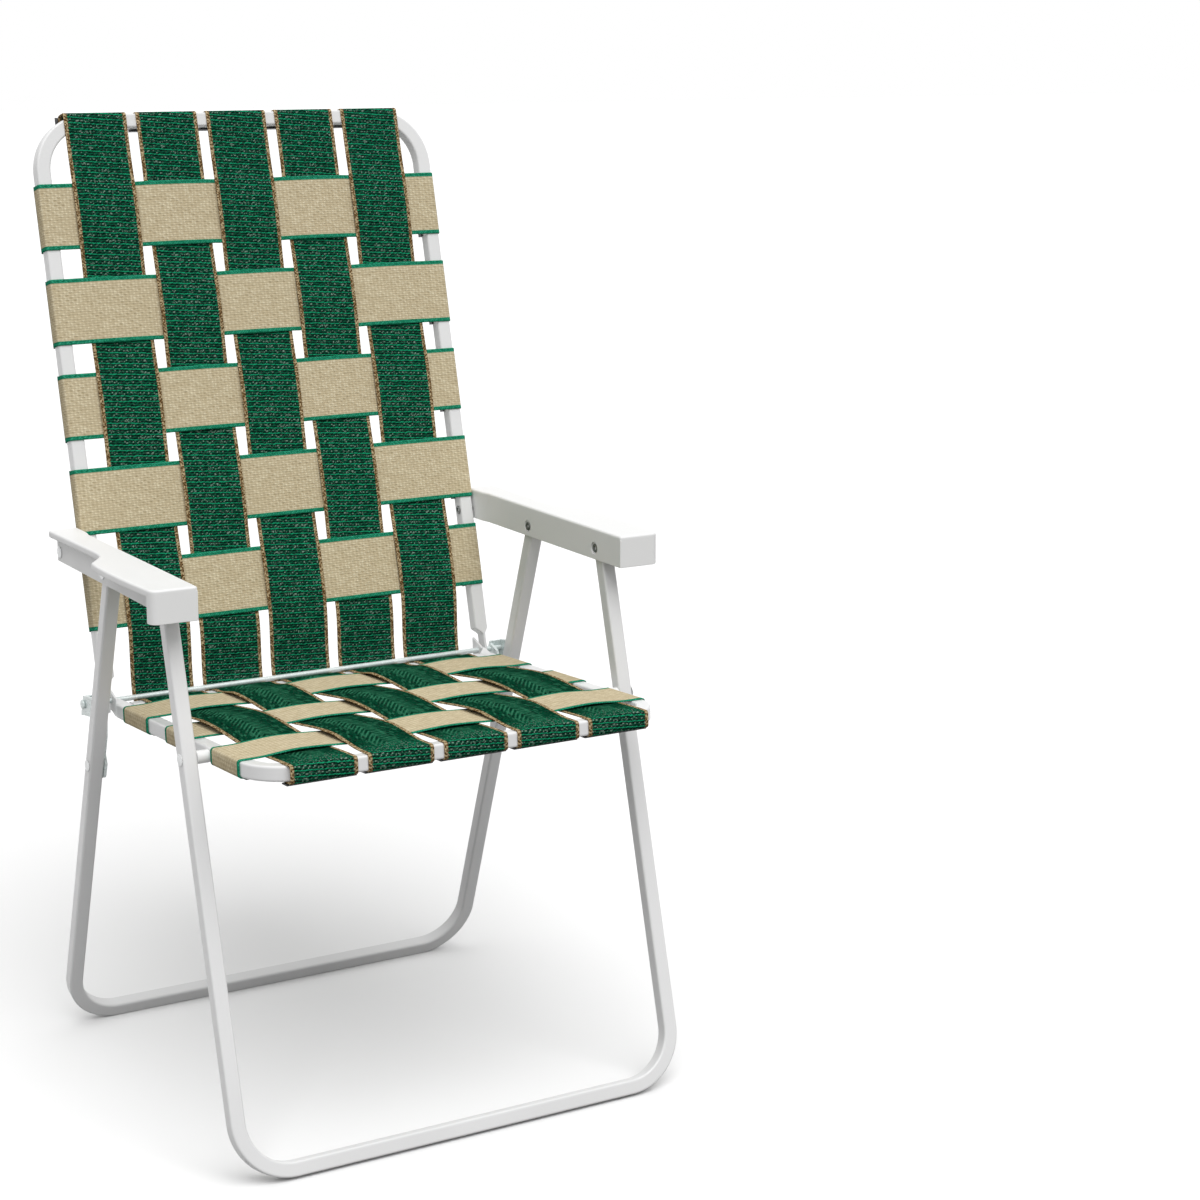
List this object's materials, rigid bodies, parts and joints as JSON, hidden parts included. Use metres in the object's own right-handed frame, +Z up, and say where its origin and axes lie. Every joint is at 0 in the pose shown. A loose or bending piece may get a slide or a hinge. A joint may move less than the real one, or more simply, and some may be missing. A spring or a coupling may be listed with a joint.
{
  "type": "folding webbed lawn chair",
  "caption": "Folding lawn chair: bent square-tube frames, woven strap seat and back, moulded armrests, and a linkage that folds back, seat and legs together.",
  "frame": {"origin": "on the floor under the middle of the opened chair's box", "axes": "+Z up, the front of the chair faces -Y, +X to the right seen from the front"},
  "size_m": [0.5976, 0.5932, 1.0452],
  "materials": {
    "frame_steel": "satin white powder coat",
    "zinc_steel": "zinc plated",
    "rivet_steel": "bright rivet",
    "white_plastic": "fine satin moulding",
    "webbing_green": "woven strap with ribbed bands and tan selvedge",
    "webbing_tan": "basket woven strap with green edge",
    "clip_black": "satin black"
  },
  "bodies": {
    "armrests": {"armrest_left": "white_plastic", "armrest_right": "white_plastic", "back_rivet_left": "rivet_steel", "back_rivet_right": "rivet_steel", "rear_leg_rivet_left": "rivet_steel", "rear_leg_rivet_right": "rivet_steel", "front_leg_rivet_left": "rivet_steel", "front_leg_rivet_right": "rivet_steel"},
    "back": {"back_frame": "frame_steel", "hinge_rod": "zinc_steel", "back_cross_strap_1": "webbing_tan", "back_cross_strap_2": "webbing_tan", "back_cross_strap_3": "webbing_tan", "back_cross_strap_4": "webbing_tan", "back_cross_strap_5": "webbing_tan", "back_long_strap_1": "webbing_green", "back_long_strap_2": "webbing_green", "back_long_strap_3": "webbing_green", "back_long_strap_4": "webbing_green", "back_long_strap_5": "webbing_green", "back_top_clip_1": "clip_black", "back_top_clip_2": "clip_black", "back_top_clip_3": "clip_black", "back_top_clip_4": "clip_black", "back_top_clip_5": "clip_black", "back_side_clip_left_1": "clip_black", "back_side_clip_left_2": "clip_black", "back_side_clip_left_3": "clip_black", "back_side_clip_left_4": "clip_black", "back_side_clip_left_5": "clip_black", "back_side_clip_right_1": "clip_black", "back_side_clip_right_2": "clip_black", "back_side_clip_right_3": "clip_black", "back_side_clip_right_4": "clip_black", "back_side_clip_right_5": "clip_black"},
    "seat": {"seat_frame": "frame_steel", "seat_rear_crossbar": "frame_steel", "seat_cross_strap_1": "webbing_tan", "seat_cross_strap_2": "webbing_tan", "seat_cross_strap_3": "webbing_tan", "seat_long_strap_1": "webbing_green", "seat_long_strap_2": "webbing_green", "seat_long_strap_3": "webbing_green", "seat_long_strap_4": "webbing_green", "seat_long_strap_5": "webbing_green", "seat_front_clip_1": "clip_black", "seat_front_clip_2": "clip_black", "seat_front_clip_3": "clip_black", "seat_front_clip_4": "clip_black", "seat_front_clip_5": "clip_black"},
    "front_legs": {"front_leg_frame": "frame_steel", "seat_rivet_left": "rivet_steel", "seat_rivet_right": "rivet_steel", "seat_spacer_left": "white_plastic", "seat_spacer_right": "white_plastic"},
    "rear_legs": {"rear_leg_frame": "frame_steel", "link_rivet_left": "rivet_steel", "link_rivet_right": "rivet_steel"},
    "lock_links": {"lock_link_left": "zinc_steel", "lock_link_right": "zinc_steel"}
  },
  "joints": [
    {"name": "back_fold", "type": "hinge", "parent": "armrests", "child": "back", "pos_m": [0, 0.1669, 0.57671], "axis": [1, 0, 0], "range_deg": [0, 75]},
    {"name": "front_leg_fold", "type": "hinge", "parent": "armrests", "child": "front_legs", "pos_m": [0, -0.1166, 0.57821], "axis": [1, 0, 0], "range_deg": [0, 78.74]},
    {"name": "rear_leg_fold", "type": "hinge", "parent": "armrests", "child": "rear_legs", "pos_m": [0, 0.0349, 0.57721], "axis": [1, 0, 0], "range_deg": [0, 43.28]},
    {"name": "seat_fold", "type": "hinge", "parent": "back", "child": "seat", "pos_m": [0, 0.1259, 0.41271], "axis": [1, 0, 0], "range_deg": [-74.99, 0]},
    {"name": "link_fold", "type": "hinge", "parent": "back", "child": "lock_links", "pos_m": [0, 0.1259, 0.41271], "axis": [1, 0, 0], "range_deg": [-131.13, 0]}
  ],
  "couplings": [
    {"joint": "front_leg_fold", "follows": "back_fold", "ratio": 1.0498},
    {"joint": "rear_leg_fold", "follows": "back_fold", "ratio": 0.57701},
    {"joint": "seat_fold", "follows": "back_fold", "ratio": -0.9998},
    {"joint": "link_fold", "follows": "back_fold", "ratio": -1.7484}
  ]
}
